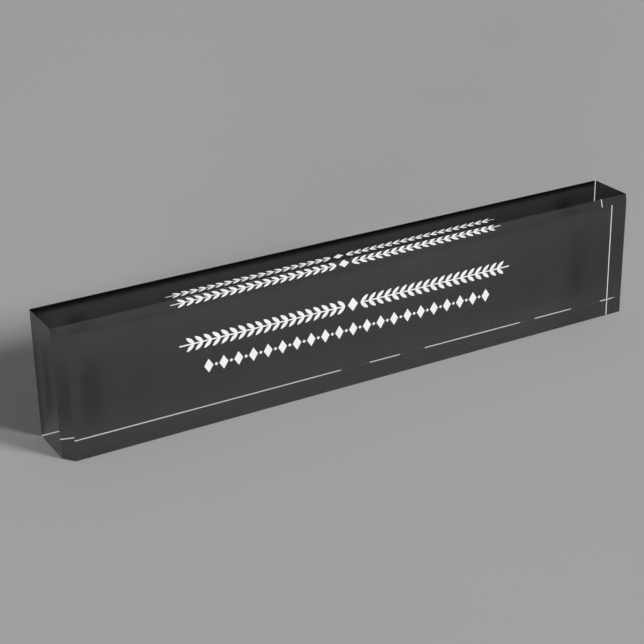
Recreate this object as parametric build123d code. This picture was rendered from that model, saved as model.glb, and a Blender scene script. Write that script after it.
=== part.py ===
from build123d import *
import math
import os

# Desk name plate: a clear block that stands on its base, with a black film on its back face,
# white marks inlaid in that film, and a matt sheet that closes the back.
# Millimetres. X runs along the plate, the face that is read looks to -Y, and Z is up.
# The origin is under the middle of the plate, on the surface that it stands on.

# Overall size
plate_length = 254.0
plate_height = 50.8
plate_depth = 25.4

# Layers behind the block
film_thickness = 0.15
backing_thickness = 0.6

# Bevels of the front face: one depth all round, so that they meet in a mitre at the two upper corners
bevel_depth = 4.8
end_bevel_width = 3.6
top_bevel_height = 1.4

# Fine ground breaks on the back edges of the base and the ends
back_edge_break = 0.25

# The film reaches to the breaks. The backing stops short of the film's edge, and has rounded corners
backing_margin = 0.2
backing_corner_radius = 1.5

# The two rows of white marks: their height, the clear space between them, how far the pair sits
# below the middle of the plate, and the bare length left at each end of a row
mark_height = 5.7
row_gap = 4.8
rows_drop = 3.65
upper_row_margin = 52.5
lower_row_margin = 62.0

# Upper row: a garland of leaves on a stem, both ways from a lozenge in the middle
stem_thickness = 0.55
leaf_width = 1.5
leaf_pitch = 3.6
leaf_tilt = 40.0
middle_lozenge_width = 4.6
middle_gap = 1.2

# Lower row: large lozenges with a small one between each two
large_lozenge_width = 3.8
small_lozenge_size = 1.5
lozenge_gap = 0.5

# Derived places
half_length = plate_length / 2
front_y = -plate_depth / 2
block_depth = plate_depth - film_thickness - backing_thickness
back_y = front_y + block_depth
film_back_y = back_y + film_thickness
film_inset = back_edge_break
backing_inset = film_inset + backing_margin
middle_height = plate_height / 2
row_offset = (mark_height + row_gap) / 2
upper_row_height = middle_height - rows_drop + row_offset
lower_row_height = middle_height - rows_drop - row_offset
upper_row_length = plate_length - 2 * upper_row_margin
lower_row_length = plate_length - 2 * lower_row_margin
lozenge_pitch = large_lozenge_width + small_lozenge_size + 2 * lozenge_gap


def back_plane(y):
    """A sketch plane across the plate at depth y: its x is the plate's X and its y is the plate's Z."""
    return Plane(origin=(0, y, 0), x_dir=(1, 0, 0), z_dir=(0, -1, 0))


def layer(sketch, y, thickness):
    """A sheet of the sketch's outline, from depth y towards the back."""
    return extrude(back_plane(y) * sketch, amount=-thickness)


def closed_outline(*points):
    """A face bounded by straight lines through the points."""
    return make_face(Polyline(*points, close=True))


def clear_block():
    """The block: its plan with the two end bevels, cut along the top by the sloping top bevel."""
    bevel_back_y = front_y + bevel_depth
    plan = closed_outline(
        (-half_length, back_y),
        (-half_length, bevel_back_y),
        (-half_length + end_bevel_width, front_y),
        (half_length - end_bevel_width, front_y),
        (half_length, bevel_back_y),
        (half_length, back_y),
    )
    body = extrude(plan, amount=plate_height)
    top_waste = closed_outline(
        (front_y, plate_height - top_bevel_height),
        (front_y, plate_height),
        (bevel_back_y, plate_height),
    )
    body -= extrude(Plane.YZ * top_waste, amount=half_length, both=True)
    back_face = body.faces().sort_by(Axis.Y)[-1]
    broken_edges = back_face.edges().sort_by(Axis.Z)[:-1]
    return chamfer(broken_edges, back_edge_break)


def lozenge(width, height):
    """A lozenge about its own middle."""
    return closed_outline((-width / 2, 0), (0, -height / 2), (width / 2, 0), (0, height / 2))


def leaf(length):
    """A pointed leaf from its stalk at the origin to its tip along x, between two arcs."""
    stalk = (0, 0)
    tip = (length, 0)
    upper_arc = ThreePointArc(stalk, (length / 2, leaf_width / 2), tip)
    lower_arc = ThreePointArc(tip, (length / 2, -leaf_width / 2), stalk)
    return make_face([upper_arc, lower_arc])


def garland():
    """The upper row: two leafy stems that point away from the lozenge in the middle."""
    leaf_length = mark_height / 2 / math.sin(math.radians(leaf_tilt))
    leaf_reach = leaf_length * math.cos(math.radians(leaf_tilt))
    stem_start = middle_lozenge_width / 2 + middle_gap
    stem_end = upper_row_length / 2
    leaf_count = int((stem_end - leaf_reach - stem_start) / leaf_pitch) + 1
    half = Pos((stem_start + stem_end) / 2, 0) * Rectangle(stem_end - stem_start, stem_thickness)
    for number in range(leaf_count):
        stalk = Pos(stem_start + number * leaf_pitch, 0)
        half += stalk * Rot(0, 0, leaf_tilt) * leaf(leaf_length)
        half += stalk * Rot(0, 0, -leaf_tilt) * leaf(leaf_length)
    return [half, lozenge(middle_lozenge_width, mark_height), mirror(half, about=Plane.YZ)]


def lozenge_band():
    """The lower row: large lozenges on an even pitch about the middle, a small one in each space."""
    spaces = int((lower_row_length - large_lozenge_width) / lozenge_pitch)
    start = -spaces * lozenge_pitch / 2
    large = lozenge(large_lozenge_width, mark_height)
    small = lozenge(small_lozenge_size, small_lozenge_size)
    band = [Pos(start + number * lozenge_pitch, 0) * large for number in range(spaces + 1)]
    band += [Pos(start + (number + 1 / 2) * lozenge_pitch, 0) * small for number in range(spaces)]
    return band


def row_solids(marks):
    """The marks of one row as separate sheets lying on the back of the block."""
    return Compound(children=[layer(mark, back_y, film_thickness) for mark in marks])


upper_marks = [Pos(0, upper_row_height) * mark for mark in garland()]
lower_marks = [Pos(0, lower_row_height) * mark for mark in lozenge_band()]

film_outline = Pos(0, middle_height) * Rectangle(
    plate_length - 2 * film_inset, plate_height - 2 * film_inset
)
for mark in upper_marks + lower_marks:
    film_outline -= mark

backing_outline = Pos(0, middle_height) * RectangleRounded(
    plate_length - 2 * backing_inset, plate_height - 2 * backing_inset, backing_corner_radius
)

parts = {
    "clear_block": clear_block(),
    "black_film": layer(film_outline, back_y, film_thickness),
    "upper_marks": row_solids(upper_marks),
    "lower_marks": row_solids(lower_marks),
    "backing_sheet": layer(backing_outline, film_back_y, backing_thickness),
}

os.makedirs("parts", exist_ok=True)
for name, solid in parts.items():
    export_step(solid, f"parts/{name}.step")
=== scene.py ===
import math

import bmesh
import bpy
import numpy as np
from bpy.props import FloatProperty, FloatVectorProperty, PointerProperty
from mathutils import Matrix, Vector


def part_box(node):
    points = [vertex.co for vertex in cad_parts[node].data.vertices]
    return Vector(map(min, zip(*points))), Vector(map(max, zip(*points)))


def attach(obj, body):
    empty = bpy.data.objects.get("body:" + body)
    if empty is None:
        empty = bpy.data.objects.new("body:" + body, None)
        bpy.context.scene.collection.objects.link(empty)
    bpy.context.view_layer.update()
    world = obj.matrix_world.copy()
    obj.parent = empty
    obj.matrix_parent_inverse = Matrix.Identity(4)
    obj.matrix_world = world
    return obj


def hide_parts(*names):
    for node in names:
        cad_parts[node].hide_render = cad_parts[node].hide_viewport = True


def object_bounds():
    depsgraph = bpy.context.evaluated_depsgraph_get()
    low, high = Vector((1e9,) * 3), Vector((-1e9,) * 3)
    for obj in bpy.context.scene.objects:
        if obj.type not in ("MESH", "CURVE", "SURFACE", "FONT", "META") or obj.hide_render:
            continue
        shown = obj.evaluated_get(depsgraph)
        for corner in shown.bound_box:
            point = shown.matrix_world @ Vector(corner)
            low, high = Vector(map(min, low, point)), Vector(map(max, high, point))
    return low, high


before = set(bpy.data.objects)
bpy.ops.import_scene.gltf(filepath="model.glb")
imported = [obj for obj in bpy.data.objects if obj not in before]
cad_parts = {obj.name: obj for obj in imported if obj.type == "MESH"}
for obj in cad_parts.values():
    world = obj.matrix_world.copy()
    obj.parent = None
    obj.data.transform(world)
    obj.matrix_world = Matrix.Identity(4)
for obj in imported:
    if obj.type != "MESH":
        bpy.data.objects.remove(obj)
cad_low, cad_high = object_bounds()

bl_info = {
    "name": "Desk Name Plate",
    "version": (1, 0, 0),
    "blender": (4, 5, 0),
    "location": "3D View > Sidebar > Name Plate",
    "description": "A clear desk name plate: polished block, black film, white marks, backing and stage",
    "category": "Object",
}

# Everything is in metres, in the part's own frame: X along the plate, the face looks to -Y, Z up.
BODY = "root"
MM = 0.001

block_low, block_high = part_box("clear_block")
film_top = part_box("black_film")[1].z


class BlockSettings(bpy.types.PropertyGroup):
    """Sizes and finish of the clear block."""

    bevel_depth: FloatProperty(
        name="Bevel depth", description="How far the front bevels reach back",
        default=4.8 * MM, unit="LENGTH",
    )
    end_bevel_width: FloatProperty(
        name="End bevel width", description="Width that an end bevel takes off the face",
        default=3.6 * MM, unit="LENGTH",
    )
    top_bevel_height: FloatProperty(
        name="Top bevel height", description="Height that the top bevel takes off the face",
        default=1.4 * MM, unit="LENGTH",
    )
    edge_break: FloatProperty(
        name="Back edge break", description="Leg of the ground break on the back edges",
        default=0.25 * MM, unit="LENGTH",
    )
    edge_rounding: FloatProperty(
        name="Edge rounding", description="Polished rounding of the clear edges",
        default=0.05 * MM, unit="LENGTH",
    )
    film_sunk: FloatProperty(
        name="Film sunk", description="Depth of film inside the block, so that no air lies between",
        default=0.05 * MM, unit="LENGTH",
    )
    refraction: FloatProperty(
        name="Refraction", description="Index of refraction of the clear body",
        default=1.53, min=1.0, max=2.0,
    )
    tint: FloatVectorProperty(
        name="Tint", description="Colour of the clear body", subtype="COLOR",
        default=(0.985, 0.99, 0.99), min=0.0, max=1.0,
    )
    # Painted highlight: the white of the ground back edges stands in for the glints of these edges
    ground_highlight_white: FloatVectorProperty(
        name="Ground edge", description="Colour of the ground back edges", subtype="COLOR",
        default=(0.94, 0.94, 0.93), min=0.0, max=1.0,
    )


class PrintSettings(bpy.types.PropertyGroup):
    """Colours of what lies behind the block."""

    black: FloatVectorProperty(
        name="Film black", description="Colour of the black ground", subtype="COLOR",
        default=(0.0322, 0.0322, 0.0322), min=0.0, max=1.0,
    )
    # Painted shade: the black that the film is painted towards where it stands in for shade at its ends, mid
    # height and top
    painted_shade_black: FloatVectorProperty(
        name="Deep black", description="Colour of the film where its coat is densest", subtype="COLOR",
        default=(0.002, 0.002, 0.0023), min=0.0, max=1.0,
    )
    white: FloatVectorProperty(
        name="Mark white", description="Colour of the marks", subtype="COLOR",
        default=(0.9, 0.9, 0.89), min=0.0, max=1.0,
    )
    backing: FloatVectorProperty(
        name="Backing", description="Colour of the backing sheet", subtype="COLOR",
        default=(0.042, 0.042, 0.044), min=0.0, max=1.0,
    )
    # Painted shade: the top strip of the film is painted darker, as shade
    painted_shade_strip: FloatProperty(
        name="Top strip", description="Height of the film's darker top strip",
        default=11.5 * MM, unit="LENGTH",
    )


class StageSettings(bpy.types.PropertyGroup):
    """Camera, lamps, floor and surroundings."""

    camera_place: FloatVectorProperty(
        name="Camera", description="Where the camera stands", subtype="TRANSLATION",
        default=(-0.29655, -0.49459, 0.28098),
    )
    camera_aim: FloatVectorProperty(
        name="Aim", description="Point on the face in the middle of the picture", subtype="TRANSLATION",
        default=(-0.02190, -0.01270, 0.03000),
    )
    camera_roll: FloatProperty(
        name="Roll", description="Turn of the camera about its line of sight", subtype="ANGLE",
        default=math.radians(-1.0),
    )
    lens: FloatProperty(
        name="Lens", description="Focal length in millimetres on a 36 mm sensor",
        default=90.44, unit="CAMERA",
    )
    floor_colour: FloatVectorProperty(
        name="Floor", description="Colour of the floor", subtype="COLOR",
        default=(0.72, 0.715, 0.705), min=0.0, max=1.0,
    )
    floor_gap: FloatProperty(
        name="Floor gap", description="Hair of air under the base",
        default=0.2 * MM, unit="LENGTH",
    )
    key_watts: FloatProperty(
        name="Key", description="Power of the softbox at the front right",
        default=2330.0, unit="POWER",
    )
    side_watts: FloatProperty(
        name="Side", description="Power of the softbox at the front left",
        default=2780.0, unit="POWER",
    )
    panel_watts: FloatProperty(
        name="Panel", description="Power of the panel at the back right",
        default=98.0, unit="POWER",
    )
    horizon_light: FloatProperty(
        name="Horizon", description="Light of the surroundings at eye level", subtype="FACTOR",
        default=0.55, min=0.0, max=1.0,
    )
    wall_light: FloatProperty(
        name="Wall", description="Light of the dark wall above the horizon", subtype="FACTOR",
        default=0.015, min=0.0, max=1.0,
    )
    dome_light: FloatProperty(
        name="Dome", description="Light of the ceiling", subtype="FACTOR",
        default=0.08, min=0.0, max=1.0,
    )


# Most of a noise lies between these two values
NOISE_SPAN = (0.3, 0.7)

# Sockets of a Mix node that blends colours: its share, its two colours and its result
MIX_SHARE, MIX_FIRST, MIX_SECOND, MIX_RESULT = 0, 6, 7, 2


class Socket:
    """An output socket that takes the signs of arithmetic: each one adds a Math node."""

    def __init__(self, bench, link):
        self.bench = bench
        self.link = link

    def math(self, operation, first, second):
        """A Math node on two values or sockets."""
        return self.bench.node("ShaderNodeMath", {"operation": operation}, {0: first, 1: second})

    def __add__(self, other):
        return self.math("ADD", self, other)

    __radd__ = __add__

    def __mul__(self, other):
        return self.math("MULTIPLY", self, other)

    __rmul__ = __mul__

    def __sub__(self, other):
        return self.math("SUBTRACT", self, other)

    def __rsub__(self, other):
        return self.math("SUBTRACT", other, self)

    def __abs__(self):
        return self.math("ABSOLUTE", self, 0.0)


class Bench:
    """The node tree of a material or a world, cleared to begin with."""

    def __init__(self, owner):
        owner.use_nodes = True
        self.tree = owner.node_tree
        self.tree.nodes.clear()

    def node(self, kind, settings=None, inputs=None, output=0):
        """Adds a node: its settings first, a ramp's stops among them, then its sockets' values or links."""
        made = self.tree.nodes.new(kind)
        for name, value in (settings or {}).items():
            if name == "stops":
                self.set_stops(made.color_ramp, value)
            else:
                setattr(made, name, value)
        for key, value in (inputs or {}).items():
            if isinstance(value, Socket):
                self.tree.links.new(value.link, made.inputs[key])
            else:
                made.inputs[key].default_value = value
        return Socket(self, made.outputs[output]) if len(made.outputs) else made

    def set_stops(self, ramp, stops):
        """Puts a ramp's stops in place: each is a position and a grey level."""
        while len(ramp.elements) < len(stops):
            ramp.elements.new(1.0)
        for element, (position, grey) in zip(ramp.elements, stops):
            element.position = position
            element.color = (grey, grey, grey, 1.0)

    def place(self):
        """Object coordinates."""
        return self.node("ShaderNodeTexCoord", output="Object")

    def axis(self, name):
        """One object coordinate."""
        return self.node("ShaderNodeSeparateXYZ", inputs={"Vector": self.place()}, output=name)

    def stretched(self, scale):
        """Object coordinates times a scale on each axis."""
        return self.node("ShaderNodeMapping", inputs={"Vector": self.place(), "Scale": scale})

    def noise(self, vector, scale, detail):
        """Soft noise from 0 to 1."""
        return self.node("ShaderNodeTexNoise", inputs={"Vector": vector, "Scale": scale, "Detail": detail})

    def ease(self, value, low, high, at_low, at_high):
        """A smooth step of value, from at_low at low to at_high at high."""
        sockets = {"Value": value, "From Min": low, "From Max": high, "To Min": at_low, "To Max": at_high}
        return self.node("ShaderNodeMapRange", {"interpolation_type": "SMOOTHSTEP"}, sockets)

    def fade_in(self, value, places, share=1.0):
        """A smooth step of value, from 0 at the first place to share at the second."""
        return self.ease(value, *places, 0.0, share)

    def fade_out(self, value, places, share=1.0):
        """A smooth step of value, from share at the first place to 0 at the second."""
        return self.ease(value, *places, share, 0.0)

    def spread(self, noise, at_low, at_high):
        """The span in which most of a noise lies, carried to two other values."""
        return self.ease(noise, *NOISE_SPAN, at_low, at_high)

    def mix(self, share, first, second):
        """A blend of two colours."""
        sockets = {MIX_SHARE: share, MIX_FIRST: first, MIX_SECOND: second}
        return self.node("ShaderNodeMix", {"data_type": "RGBA"}, sockets, MIX_RESULT)

    def mottled(self, pattern, colour, shades):
        """A colour that a pattern carries from one shade of it to another."""
        first, second = shades
        return self.mix(pattern, shade(colour, first), shade(colour, second))

    def bump(self, height, distance, strength):
        """A normal that follows a height."""
        sockets = {"Height": height, "Distance": distance, "Strength": strength}
        return self.node("ShaderNodeBump", inputs=sockets)

    def surface(self, **sockets):
        """A Principled surface. Underscores in a socket's name stand for spaces."""
        named = {name.replace("_", " "): value for name, value in sockets.items()}
        return self.node("ShaderNodeBsdfPrincipled", inputs=named)

    def finish(self, shader, kind="ShaderNodeOutputMaterial"):
        """Ends the tree with its output."""
        self.node(kind, inputs={"Surface": shader})


def shade(colour, factor=1.0):
    """A colour times a factor, with full alpha."""
    return (*(part * factor for part in colour), 1.0)


# The polished faces carry slow, shallow waves: their scale and height. A face lets this share of lamp light
# and diffuse light straight through to the print.
WAVE_SCALE = 22.0
WAVE_HEIGHT = 0.03 * MM
OPEN_SHARE = 0.6


def clear_acrylic(look):
    """Clear polished acrylic. Lamp and diffuse light pass straight through, so that the print is lit."""
    material = bpy.data.materials.new("clear_acrylic")
    bench = Bench(material)
    waves = bench.noise(bench.place(), WAVE_SCALE, detail=1.0)
    body = bench.surface(
        Base_Color=shade(look.tint),
        Roughness=0.0,
        IOR=look.refraction,
        Transmission_Weight=1.0,
        Normal=bench.bump(waves, WAVE_HEIGHT, strength=1.0),
    )
    open_way = bench.node("ShaderNodeBsdfTransparent", inputs={"Color": shade((1.0, 1.0, 1.0), OPEN_SHARE)})
    bounced = bench.node("ShaderNodeLightPath", output="Is Diffuse Ray")
    from_lamp = bench.node("ShaderNodeLightPath", output="Is Shadow Ray")
    seen = bench.node("ShaderNodeMixShader", inputs={0: bounced, 1: body, 2: open_way})
    bench.finish(bench.node("ShaderNodeMixShader", inputs={0: from_lamp, 1: seen, 2: open_way}))
    return material


# Gaps in the painted highlight along the base's break, covered with the film's black: middle and half length
# along the plate
BREAK_HIGHLIGHT_GAPS = ((0.8 * MM, 6.7 * MM), (27.6 * MM, 6.0 * MM), (84.8 * MM, 3.9 * MM), (115.5 * MM, 7.9 * MM))

# Grain of the ground breaks, and the shades of white that it runs between on the uprights and on the base.
# The white is a painted highlight, painted darker on the base's break than on the uprights. The shades of
# the base have given way to those of the uprights at this height, counted in breaks.
GROUND_GRAIN = 3500.0
UPRIGHT_SHADES = (1.0, 0.88)
BASE_SHADES = (0.74, 0.56)
BASE_TOP = 3


def ground_edge_highlight(look, ink):
    """The ground break of the back edges: a painted highlight in fine white, darker along the base, and
    broken here and there along the base by the film's black.
    """
    material = bpy.data.materials.new("ground_edge_highlight")
    bench = Bench(material)
    along = bench.axis("X")
    low_down = bench.fade_out(bench.axis("Z"), (look.edge_break, BASE_TOP * look.edge_break))
    gaps_mask = 0.0
    for middle, half in BREAK_HIGHLIGHT_GAPS:
        one_gap = bench.node("ShaderNodeMath", {"operation": "COMPARE"}, {0: along, 1: middle, 2: half})
        gaps_mask = one_gap + gaps_mask
    grain = bench.noise(bench.place(), GROUND_GRAIN, detail=3.0)
    # Painted highlight: the ground breaks are white as a stand-in for glints, painted darker along the base
    upright = bench.mottled(grain, look.ground_highlight_white, UPRIGHT_SHADES)
    base = bench.mottled(grain, look.ground_highlight_white, BASE_SHADES)
    painted_highlight = bench.mix(low_down, upright, base)
    bench.finish(
        bench.surface(
            Base_Color=bench.mix(gaps_mask * low_down, painted_highlight, shade(ink)),
            Roughness=0.8,
            Specular_IOR_Level=0.0,
        )
    )
    return material


# Streaks of the black coat: their scale along X, Y and Z, and the shades of black that they run between
STREAK_SCALE = (60.0, 1.0, 6.0)
STREAK_SHADES = (0.88, 1.12)

# Painted shade on the black film: where it is darker. Each pair of places is where a soft edge begins and
# ends, along the plate or in height, and each share is how far the film is painted there towards the painted
# shade black.
RIGHT_SIDE, RIGHT_SIDE_FOOT, RIGHT_SIDE_SHARE = (30.0 * MM, 95.0 * MM), (0.0, 12.0 * MM), 0.18
RIGHT_END, RIGHT_END_TOP, RIGHT_END_SHARE = (96.0 * MM, 112.0 * MM), (34.0 * MM, 44.0 * MM), 0.25
LEFT_MARGIN, LEFT_MARGIN_SHARE = (-126.0 * MM, -118.0 * MM), 0.5
MID_HEIGHT_FOOT, MID_HEIGHT_TOP, MID_HEIGHT_SHARE = (0.0, 14.0 * MM), (20.0 * MM, 42.0 * MM), 0.2
TOP_STRIP_FULL = 2.5 * MM

# Two upright bands of painted shade in the mid height: distance from the middle of the plate, soft edge and
# added share
BAND_PLACE, BAND_EDGE, BAND_SHARE = 110.0 * MM, (1.0 * MM, 6.5 * MM), 0.37


def black_film(look):
    """The black ground: slow streaks of tone, and painted shade that darkens it at both ends, mid height and
    the top.
    """
    material = bpy.data.materials.new("black_film")
    bench = Bench(material)
    along = bench.axis("X")
    height = bench.axis("Z")
    streaks = bench.noise(bench.stretched(STREAK_SCALE), scale=1.0, detail=3.0)
    right_side = bench.fade_in(along, RIGHT_SIDE, RIGHT_SIDE_SHARE) * bench.fade_in(height, RIGHT_SIDE_FOOT)
    right_end = bench.fade_in(along, RIGHT_END, RIGHT_END_SHARE) * bench.fade_out(height, RIGHT_END_TOP)
    left_margin = bench.fade_out(along, LEFT_MARGIN, LEFT_MARGIN_SHARE)
    bands = bench.fade_out(abs(abs(along) - BAND_PLACE), BAND_EDGE, BAND_SHARE)
    mid_height = bench.fade_in(height, MID_HEIGHT_FOOT) * bench.fade_out(height, MID_HEIGHT_TOP)
    top_strip = bench.fade_in(height, (film_top - look.painted_shade_strip, film_top - TOP_STRIP_FULL))
    coat = bench.mottled(streaks, look.black, STREAK_SHADES)
    # Each mask is painted shade, laid over the streaked black towards the painted shade black
    for painted_shade_mask in (right_side, right_end, left_margin, (bands + MID_HEIGHT_SHARE) * mid_height, top_strip):
        coat = bench.mix(painted_shade_mask, coat, shade(look.painted_shade_black))
    bench.finish(
        bench.surface(Base_Color=coat, Roughness=bench.spread(streaks, 0.5, 0.7), Specular_IOR_Level=0.0)
    )
    return material


# Mottle of the white ink, and the shades of white that it runs between
INK_MOTTLE = 900.0
INK_SHADES = (1.0, 0.95)


def white_ink(look):
    """Matt white ink with a faint mottle."""
    material = bpy.data.materials.new("white_ink")
    bench = Bench(material)
    mottle = bench.noise(bench.place(), INK_MOTTLE, detail=3.0)
    bench.finish(
        bench.surface(
            Base_Color=bench.mottled(mottle, look.white, INK_SHADES),
            Roughness=bench.spread(mottle, 0.6, 0.8),
            Specular_IOR_Level=0.0,
        )
    )
    return material


# Grain of the backing sheet: its scale, and the height and strength of its relief
BACKING_GRAIN = 1400.0
GRAIN_HEIGHT = 0.04 * MM
GRAIN_STRENGTH = 0.5

# Rubbed patches of the backing sheet: their scale, the noise at which a patch begins and is full, the shades
# of black from bare to rubbed, and how much a patch adds to the polish. The polish is a sum of grain and
# patches, and takes the roughness from matt to rubbed over its span.
PATCH_SCALE = 38.0
PATCH_EDGE = (0.52, 0.75)
PATCH_SHADES = (1.0, 1.9)
PATCH_POLISH = 0.4
POLISH_SPAN = (0.3, 1.0)
BACKING_ROUGHNESS = (0.62, 0.42)


def matt_backing(look):
    """Matt black sheet: a fine pressed grain, and a few paler rubbed patches."""
    material = bpy.data.materials.new("matt_backing")
    bench = Bench(material)
    grain = bench.noise(bench.place(), BACKING_GRAIN, detail=4.0)
    rubbed = bench.fade_in(bench.noise(bench.place(), PATCH_SCALE, detail=5.0), PATCH_EDGE)
    polish = grain + rubbed * PATCH_POLISH
    bench.finish(
        bench.surface(
            Base_Color=bench.mottled(rubbed * grain, look.backing, PATCH_SHADES),
            Roughness=bench.ease(polish, *POLISH_SPAN, *BACKING_ROUGHNESS),
            Specular_IOR_Level=0.35,
            Normal=bench.bump(grain, GRAIN_HEIGHT, GRAIN_STRENGTH),
        )
    )
    return material


# Mottle of the floor, and the shades of its colour that it runs between
FLOOR_MOTTLE = 14.0
FLOOR_SHADES = (1.0, 0.97)


def pale_floor(stage):
    """Plain pale floor with a barely visible mottle."""
    material = bpy.data.materials.new("pale_floor")
    bench = Bench(material)
    mottle = bench.noise(bench.place(), FLOOR_MOTTLE, detail=4.0)
    bench.finish(
        bench.surface(
            Base_Color=bench.mottled(mottle, stage.floor_colour, FLOOR_SHADES),
            Roughness=0.75,
            Specular_IOR_Level=0.15,
        )
    )
    return material


# The eight points of the block's outline, as left and right pairs: the ends of the back line, the back and
# front ends of each end face, and the ends of the front line
BACK, END_BACK, END_FRONT, FRONT = [0, 7], [1, 6], [2, 5], [3, 4]

# Sides of the outline, each from its point to the next: the breaks of the back corners, and the back line
BREAK_SIDES, BACK_SIDE = [0, 6], 7

# Points closer than this are merged, and a rounded edge has this many steps
MERGE_DISTANCE = 0.0001 * MM
ROUNDING_STEPS = 2


def block_surface(look):
    """The block as its plan outline carried up through four levels.

    The outline runs anticlockwise from the back left corner in eight points: two for each back corner, whose
    break joins them, and two for each front corner, whose end bevel joins them. At the lowest level the back
    line stands forward by the break, and at the top level the front line stands back by the bevel's depth.
    There the two points of a corner fall together, which makes the mitres.
    """
    half = block_high.x
    front = block_low.y
    back = block_high.y + look.film_sunk
    height = block_high.z
    broken = look.edge_break
    left_x = np.array([-half + broken, -half, -half, -half + look.end_bevel_width])
    left_y = np.array([back, back - broken, front + look.bevel_depth, front])
    levels = np.array([0.0, broken, height - look.top_bevel_height, height])
    x = np.concatenate([left_x, -left_x[::-1]])
    y = np.concatenate([left_y, left_y[::-1]])
    points = np.empty((len(levels), len(x), 3))
    points[:, :, 0] = x
    points[:, :, 1] = y
    points[:, :, 2] = levels[:, None]
    points[0, BACK] = points[0, END_BACK]
    points[-1, FRONT] = points[-1, END_FRONT]
    return points


def ring_faces(levels, sides):
    """The quads of a closed outline carried through levels: level by level, one quad for each side."""
    low = np.arange(sides)
    quads = np.stack([low, np.roll(low, -1), np.roll(low, -1) + sides, low + sides], axis=1)
    return (quads[None] + sides * np.arange(levels - 1)[:, None, None]).reshape(-1, 4)


def clear_edges(mesh):
    """A weight for each edge: 1 where its faces' material numbers add up to 0, so that none is ground."""
    edge_of_corner = np.empty(len(mesh.loops), np.int32)
    mesh.loops.foreach_get("edge_index", edge_of_corner)
    corners = np.empty(len(mesh.polygons), np.int32)
    mesh.polygons.foreach_get("loop_total", corners)
    ground = np.empty(len(mesh.polygons), np.int32)
    mesh.polygons.foreach_get("material_index", ground)
    touched = np.bincount(edge_of_corner, np.repeat(ground, corners), len(mesh.edges))
    return (touched == 0).astype(np.float32)


def acrylic_block(look, materials):
    """Makes the block: closed, merged at the mitres, breaks in the second material, clear edges rounded."""
    points = block_surface(look)
    levels, sides = points.shape[:2]
    base = np.arange(sides)[::-1]
    top = np.arange(sides) + (levels - 1) * sides
    faces = [*ring_faces(levels, sides).tolist(), base.tolist(), top.tolist()]
    ground = np.zeros((levels - 1, sides), np.int32)
    ground[:, BREAK_SIDES] = 1
    ground[0, BACK_SIDE] = 1
    slots = np.zeros(len(faces), np.int32)
    slots[:ground.size] = ground.ravel()
    mesh = bpy.data.meshes.new("acrylic_block")
    mesh.from_pydata(points.reshape(-1, 3), [], faces)
    mesh.polygons.foreach_set("material_index", slots)
    for material in materials:
        mesh.materials.append(material)
    merged = bmesh.new()
    merged.from_mesh(mesh)
    bmesh.ops.remove_doubles(merged, verts=merged.verts, dist=MERGE_DISTANCE)
    bmesh.ops.recalc_face_normals(merged, faces=merged.faces)
    merged.to_mesh(mesh)
    merged.free()
    weights = mesh.attributes.new("bevel_weight_edge", "FLOAT", "EDGE")
    weights.data.foreach_set("value", clear_edges(mesh))
    piece = bpy.data.objects.new("acrylic_block", mesh)
    bpy.context.scene.collection.objects.link(piece)
    rounding = piece.modifiers.new("polished_edges", "BEVEL")
    rounding.width = look.edge_rounding
    rounding.segments = ROUNDING_STEPS
    rounding.limit_method = "WEIGHT"
    return piece


def dress(node, material):
    """Gives a carried-over node its material."""
    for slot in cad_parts[node].material_slots:
        slot.material = material


class NAMEPLATE_OT_block(bpy.types.Operator):
    """Builds the clear block with its bevels and ground back edges"""

    bl_idname = "nameplate.block"
    bl_label = "Clear Block"

    def execute(self, context):
        look = context.scene.nameplate_block
        ink = context.scene.nameplate_print.black
        piece = acrylic_block(look, [clear_acrylic(look), ground_edge_highlight(look, ink)])
        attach(piece, BODY)
        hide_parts("clear_block")
        return {"FINISHED"}


class NAMEPLATE_OT_film(bpy.types.Operator):
    """Finishes the black film"""

    bl_idname = "nameplate.film"
    bl_label = "Black Film"

    def execute(self, context):
        dress("black_film", black_film(context.scene.nameplate_print))
        return {"FINISHED"}


class NAMEPLATE_OT_marks(bpy.types.Operator):
    """Finishes both rows of white marks"""

    bl_idname = "nameplate.marks"
    bl_label = "White Marks"

    def execute(self, context):
        ink = white_ink(context.scene.nameplate_print)
        dress("upper_marks", ink)
        dress("lower_marks", ink)
        return {"FINISHED"}


class NAMEPLATE_OT_backing(bpy.types.Operator):
    """Finishes the backing sheet"""

    bl_idname = "nameplate.backing"
    bl_label = "Backing Sheet"

    def execute(self, context):
        dress("backing_sheet", matt_backing(context.scene.nameplate_print))
        return {"FINISHED"}


# The floor is a square of this half width. The lamps stand this far off, at these compass turns from the
# front (to the right is positive) and heights above the horizon, and have these widths and heights.
FLOOR_HALF = 8.0
LAMP_DISTANCE = 16.0
KEY_TURN, KEY_RISE, KEY_SIZE = math.radians(35), math.radians(24), (4.0, 3.0)
SIDE_TURN, SIDE_RISE, SIDE_SIZE = math.radians(-42), math.radians(1.6), (6.4, 0.7)
PANEL_TURN, PANEL_RISE, PANEL_SIZE = math.radians(137), math.radians(48), (20.0, 6.0)

# Heights above the horizon where the surroundings change: end of the pale horizon, start and end of the
# dark wall, start of the ceiling
HORIZON_END, WALL_START, WALL_END, DOME_START = (math.radians(a) for a in (11, 17, 40, 48))

# Nearest and furthest distance that the camera sees
CAMERA_NEAR, CAMERA_FAR = 0.01, 50.0


def softbox(name, watts, turn, rise, size):
    """A rectangular lamp that faces the middle of the plate."""
    lamp = bpy.data.lights.new(name, "AREA")
    lamp.shape = "RECTANGLE"
    lamp.size, lamp.size_y = size
    lamp.energy = watts
    away = Vector((math.sin(turn) * math.cos(rise), -math.cos(turn) * math.cos(rise), math.sin(rise)))
    holder = bpy.data.objects.new(name, lamp)
    holder.location = Vector((0.0, 0.0, cad_high.z / 2)) + LAMP_DISTANCE * away
    holder.rotation_euler = away.to_track_quat("Z", "Y").to_euler()
    bpy.context.scene.collection.objects.link(holder)


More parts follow.
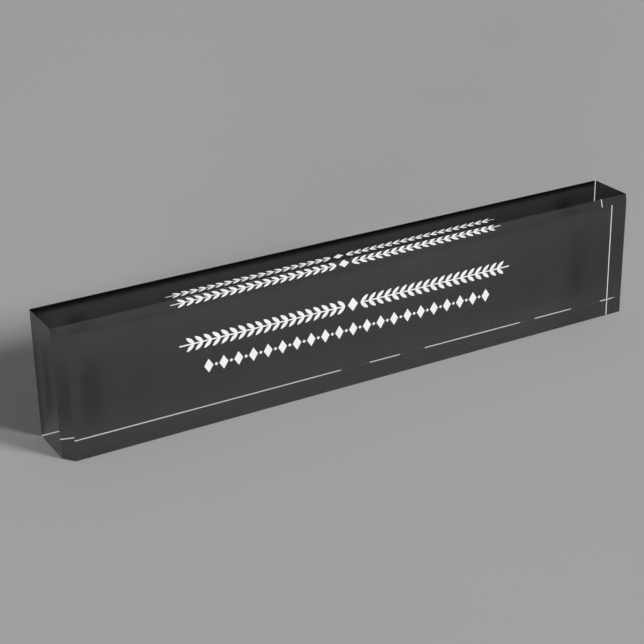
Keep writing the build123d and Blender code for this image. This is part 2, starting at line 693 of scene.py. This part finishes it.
def surroundings(stage):
    """A round studio: pale at the horizon, a dark wall above it, and a dim ceiling."""
    world = bpy.data.worlds.new("studio")
    bench = Bench(world)
    way = bench.node("ShaderNodeTexCoord", output="Generated")
    rise = bench.node("ShaderNodeSeparateXYZ", inputs={"Vector": way}, output="Z")
    stops = [
        (math.sin(HORIZON_END), stage.horizon_light),
        (math.sin(WALL_START), stage.wall_light),
        (math.sin(WALL_END), stage.wall_light),
        (math.sin(DOME_START), stage.dome_light),
    ]
    light = bench.node("ShaderNodeValToRGB", {"stops": stops}, {"Fac": rise})
    bench.finish(bench.node("ShaderNodeBackground", inputs={"Color": light}), "ShaderNodeOutputWorld")
    bpy.context.scene.world = world


def floor_plane(stage):
    """The floor as a flat square just under the base."""
    side = np.array([-FLOOR_HALF, FLOOR_HALF])
    x, y = np.meshgrid(side, side)
    corners = np.stack([x, y, np.full_like(x, -stage.floor_gap)], axis=2).reshape(-1, 3)
    mesh = bpy.data.meshes.new("floor")
    mesh.from_pydata(corners, [], [(0, 1, 3, 2)])
    mesh.materials.append(pale_floor(stage))
    floor = bpy.data.objects.new("floor", mesh)
    bpy.context.scene.collection.objects.link(floor)


def studio_camera(stage):
    """The camera, turned from its place to its aim and then rolled about its line of sight."""
    lens = bpy.data.cameras.new("camera")
    lens.lens = stage.lens
    lens.clip_start, lens.clip_end = CAMERA_NEAR, CAMERA_FAR
    camera = bpy.data.objects.new("camera", lens)
    place = Vector(stage.camera_place)
    look = (Vector(stage.camera_aim) - place).to_track_quat("-Z", "Y").to_matrix().to_4x4()
    camera.matrix_world = Matrix.Translation(place) @ look @ Matrix.Rotation(stage.camera_roll, 4, "Z")
    bpy.context.scene.collection.objects.link(camera)
    bpy.context.scene.camera = camera


class NAMEPLATE_OT_stage(bpy.types.Operator):
    """Sets up the floor, the lamps, the surroundings and the camera"""

    bl_idname = "nameplate.stage"
    bl_label = "Stage"

    def execute(self, context):
        stage = context.scene.nameplate_stage
        floor_plane(stage)
        softbox("key_softbox", stage.key_watts, KEY_TURN, KEY_RISE, KEY_SIZE)
        softbox("side_softbox", stage.side_watts, SIDE_TURN, SIDE_RISE, SIDE_SIZE)
        softbox("back_panel", stage.panel_watts, PANEL_TURN, PANEL_RISE, PANEL_SIZE)
        surroundings(stage)
        studio_camera(stage)
        context.scene.view_settings.view_transform = "Standard"
        return {"FINISHED"}


class NAMEPLATE_PT_pieces(bpy.types.Panel):
    """Lists the pieces and their settings in the sidebar"""

    bl_idname = "NAMEPLATE_PT_pieces"
    bl_label = "Name Plate"
    bl_space_type = "VIEW_3D"
    bl_region_type = "UI"
    bl_category = "Name Plate"

    def draw(self, context):
        for operator in OPERATORS:
            self.layout.operator(operator.bl_idname)
        for name, group in SETTINGS.items():
            box = self.layout.box()
            for setting in group.__annotations__:
                box.prop(getattr(context.scene, name), setting)


OPERATORS = (
    NAMEPLATE_OT_block,
    NAMEPLATE_OT_film,
    NAMEPLATE_OT_marks,
    NAMEPLATE_OT_backing,
    NAMEPLATE_OT_stage,
)
SETTINGS = {
    "nameplate_block": BlockSettings,
    "nameplate_print": PrintSettings,
    "nameplate_stage": StageSettings,
}
CLASSES = (*SETTINGS.values(), *OPERATORS, NAMEPLATE_PT_pieces)


def register():
    """Registers the classes, and gives the scene its settings."""
    for cls in CLASSES:
        bpy.utils.register_class(cls)
    for name, group in SETTINGS.items():
        setattr(bpy.types.Scene, name, PointerProperty(type=group))


def unregister():
    """Takes the settings and the classes away again."""
    for name in SETTINGS:
        delattr(bpy.types.Scene, name)
    for cls in reversed(CLASSES):
        bpy.utils.unregister_class(cls)


def main():
    """Builds every piece in order."""
    register()
    bpy.ops.nameplate.block()
    bpy.ops.nameplate.film()
    bpy.ops.nameplate.marks()
    bpy.ops.nameplate.backing()
    bpy.ops.nameplate.stage()


if __name__ == "__main__":
    main()
